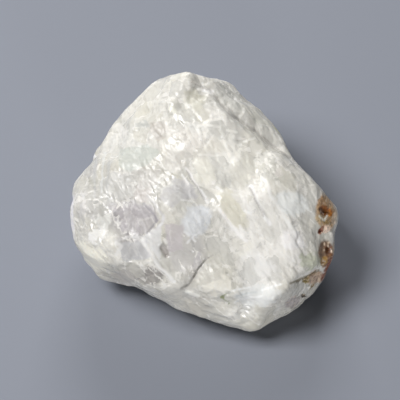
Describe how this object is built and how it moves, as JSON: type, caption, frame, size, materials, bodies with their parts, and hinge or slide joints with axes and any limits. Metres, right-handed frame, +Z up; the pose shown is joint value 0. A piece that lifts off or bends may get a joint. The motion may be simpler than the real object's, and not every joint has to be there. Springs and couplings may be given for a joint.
{
  "type": "rough white mineral specimen",
  "caption": "Rough hand-sized lump of milky white mineral with a broad broken face, a grooved bank and an iron-stained end, resting on a small flat spot.",
  "frame": {"origin": "middle of the stone's box, on the surface that it rests on", "axes": "+X along the longest extent, towards the iron-stained end; -Y towards the viewer of the broad face; +Z up"},
  "size_m": [0.0604, 0.0554, 0.0365],
  "materials": {
    "milky_mineral": "broken vitreous surface, milky white with grey translucent zones and an iron-stained end"
  },
  "bodies": {
    "root": {"matrix_stone": "milky_mineral"}
  },
  "joints": []
}
